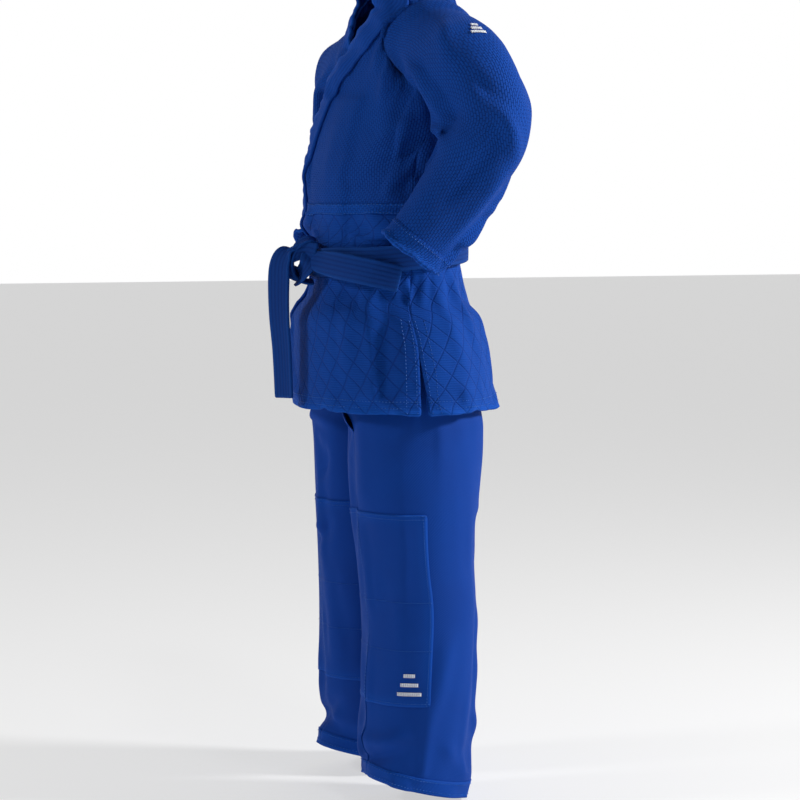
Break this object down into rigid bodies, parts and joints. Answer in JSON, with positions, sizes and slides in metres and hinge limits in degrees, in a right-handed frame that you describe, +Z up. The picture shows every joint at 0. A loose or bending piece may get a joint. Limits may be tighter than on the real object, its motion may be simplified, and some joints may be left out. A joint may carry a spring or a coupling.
{
  "type": "judo uniform",
  "caption": "Belted judo uniform as worn with hands on hips: wrapped jacket with wide sleeves and split skirt, knotted belt, and loose trousers with knee patches.",
  "frame": {"origin": "centre of the wearer's waist, level with the lower edge of the belt in front", "axes": "+Z up along the standing wearer; the wearer faces -Y; +X is the wearer's left"},
  "size_m": [0.7456, 0.3961, 1.4315],
  "materials": {
    "jacket_weave": "heavy single-weave cotton with an upright rice-grain rib, matt",
    "skirt_weave": "plain cotton with a woven diamond pattern, matt",
    "trouser_drill": "smooth cotton drill, slightly sheeny along folds",
    "belt_cotton": "cotton belt with lengthwise rows of stitching, matt",
    "embroidery_thread": "white satin-stitch thread"
  },
  "bodies": {
    "jacket": {"left_front_panel": "jacket_weave", "right_front_panel": "jacket_weave", "back_panel": "jacket_weave", "left_waist_panel": "skirt_weave", "right_waist_panel": "skirt_weave", "back_waist_panel": "skirt_weave", "left_waist_tape": "skirt_weave", "back_waist_tape": "skirt_weave", "right_waist_tape": "skirt_weave", "left_lapel": "jacket_weave", "right_lapel": "jacket_weave", "back_collar": "jacket_weave", "left_shoulder_yoke": "jacket_weave", "right_shoulder_yoke": "jacket_weave", "left_underarm_gusset": "jacket_weave", "right_underarm_gusset": "jacket_weave", "belt_inner_turn": "belt_cotton", "belt_outer_turn": "belt_cotton", "belt_knot": "belt_cotton", "trouser_front_seat": "trouser_drill", "trouser_back_seat": "trouser_drill", "trouser_waistband": "trouser_drill", "crotch_gusset": "trouser_drill", "left_thigh_front": "trouser_drill", "left_thigh_back": "trouser_drill", "right_thigh_front": "trouser_drill", "right_thigh_back": "trouser_drill"},
    "left_sleeve": {"left_sleeve_over": "jacket_weave", "left_sleeve_under": "jacket_weave", "left_cuff_band": "jacket_weave", "sleeve_mark": "embroidery_thread"},
    "right_sleeve": {"right_sleeve_over": "jacket_weave", "right_sleeve_under": "jacket_weave", "right_cuff_band": "jacket_weave"},
    "left_flap": {"left_skirt_flap": "skirt_weave", "left_skirt_lapel": "skirt_weave", "left_vent_facing": "skirt_weave"},
    "right_flap": {"right_skirt_flap": "skirt_weave", "right_skirt_lapel": "skirt_weave", "right_vent_facing": "skirt_weave"},
    "back_flap": {"back_skirt_flap": "skirt_weave", "back_left_vent_facing": "skirt_weave", "back_right_vent_facing": "skirt_weave"},
    "front_belt_end": {"belt_front_end": "belt_cotton"},
    "side_belt_end": {"belt_side_end": "belt_cotton"},
    "left_shin": {"left_shin_front": "trouser_drill", "left_shin_back": "trouser_drill", "left_knee_patch": "trouser_drill", "left_hem_band": "trouser_drill", "shin_mark": "embroidery_thread"},
    "right_shin": {"right_shin_front": "trouser_drill", "right_shin_back": "trouser_drill", "right_knee_patch": "trouser_drill", "right_hem_band": "trouser_drill"}
  },
  "joints": [
    {"name": "left_sleeve_swing", "type": "hinge", "parent": "jacket", "child": "left_sleeve", "pos_m": [0.19, 0.046, 0.375], "axis": [-1, 0, 0], "range_deg": [-8, 60]},
    {"name": "right_sleeve_swing", "type": "hinge", "parent": "jacket", "child": "right_sleeve", "pos_m": [-0.19, 0.046, 0.375], "axis": [-1, 0, 0], "range_deg": [-8, 60]},
    {"name": "left_flap_lift", "type": "hinge", "parent": "jacket", "child": "left_flap", "pos_m": [0, -0.134, -0.044], "axis": [-1, 0, 0], "range_deg": [0, 35]},
    {"name": "right_flap_lift", "type": "hinge", "parent": "jacket", "child": "right_flap", "pos_m": [0, -0.134, -0.044], "axis": [-1, 0, 0], "range_deg": [0, 32]},
    {"name": "back_flap_lift", "type": "hinge", "parent": "jacket", "child": "back_flap", "pos_m": [0, 0.15, -0.044], "axis": [1, 0, 0], "range_deg": [0, 17]},
    {"name": "front_belt_end_swing", "type": "hinge", "parent": "jacket", "child": "front_belt_end", "pos_m": [-0.008, -0.186, 0.014], "axis": [-1, 0, 0], "range_deg": [0, 40]},
    {"name": "side_belt_end_swing", "type": "hinge", "parent": "jacket", "child": "side_belt_end", "pos_m": [0.014, -0.144, 0.013], "axis": [0, 0, -1], "range_deg": [0, 45]},
    {"name": "left_knee_bend", "type": "hinge", "parent": "jacket", "child": "left_shin", "pos_m": [0.108, 0.024, -0.392], "axis": [1, 0, 0], "range_deg": [0, 40]},
    {"name": "right_knee_bend", "type": "hinge", "parent": "jacket", "child": "right_shin", "pos_m": [-0.108, 0.03, -0.392], "axis": [1, 0, 0], "range_deg": [0, 40]}
  ],
  "couplings": [
    {"joint": "right_flap_lift", "follows": "left_flap_lift", "ratio": 0.9},
    {"joint": "front_belt_end_swing", "follows": "left_flap_lift", "ratio": 1.1}
  ]
}
